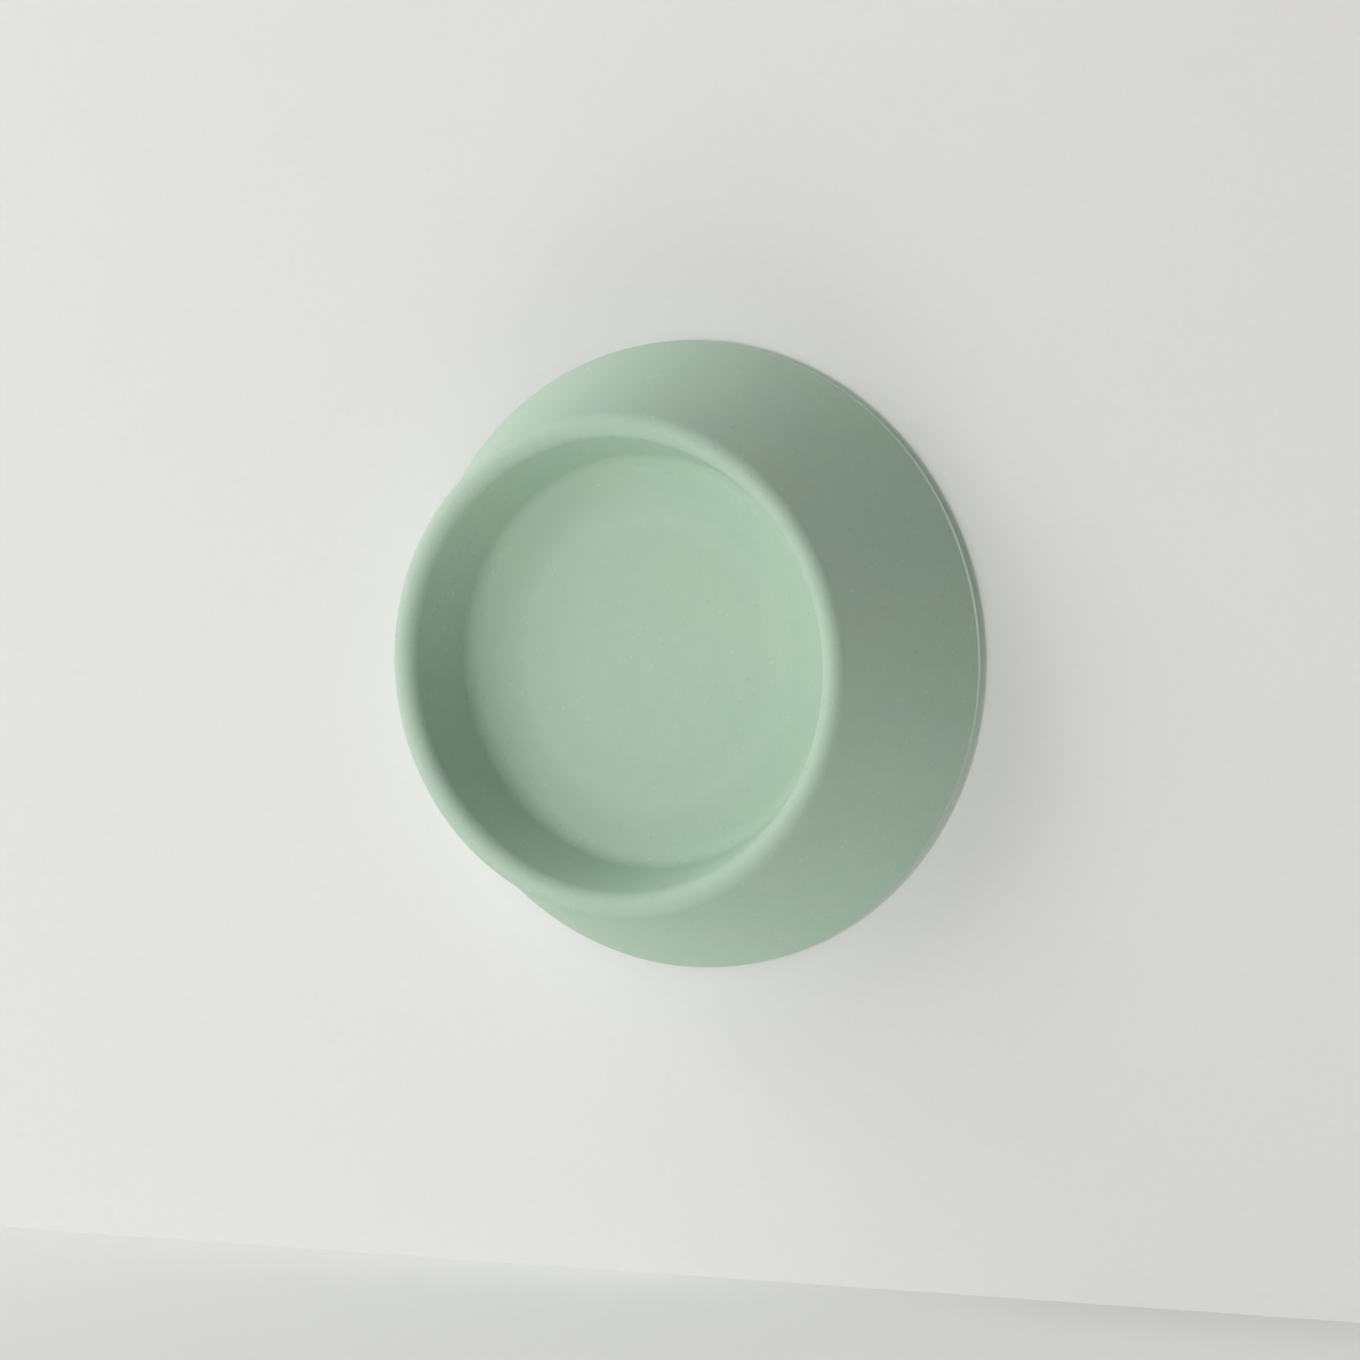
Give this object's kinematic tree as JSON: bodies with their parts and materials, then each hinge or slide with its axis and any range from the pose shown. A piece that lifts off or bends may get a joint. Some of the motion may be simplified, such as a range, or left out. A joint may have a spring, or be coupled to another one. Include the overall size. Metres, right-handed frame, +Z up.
{
  "type": "soap holder",
  "caption": "Round wall-mounted magnetic soap holder: a flared moulded dish with a rolled lip, closed at the back by a snap-in plate with an adhesive pad.",
  "frame": {"origin": "centre of the adhesive face that meets the wall", "axes": "+Y into the wall along the holder's axis, so the dish looks along -Y; +Z up, +X to the right as seen from the room"},
  "size_m": [0.05, 0.015, 0.05],
  "materials": {
    "mint_nylon": "fine matte, slightly mottled as recycled nylon is",
    "magnet_plating": "satin nickel plating",
    "pad_foam": "closed-cell foam with a tacky face"
  },
  "bodies": {
    "root": {"dish_body": "mint_nylon", "back_plate": "mint_nylon", "magnet": "magnet_plating", "adhesive_pad": "pad_foam"}
  },
  "joints": []
}
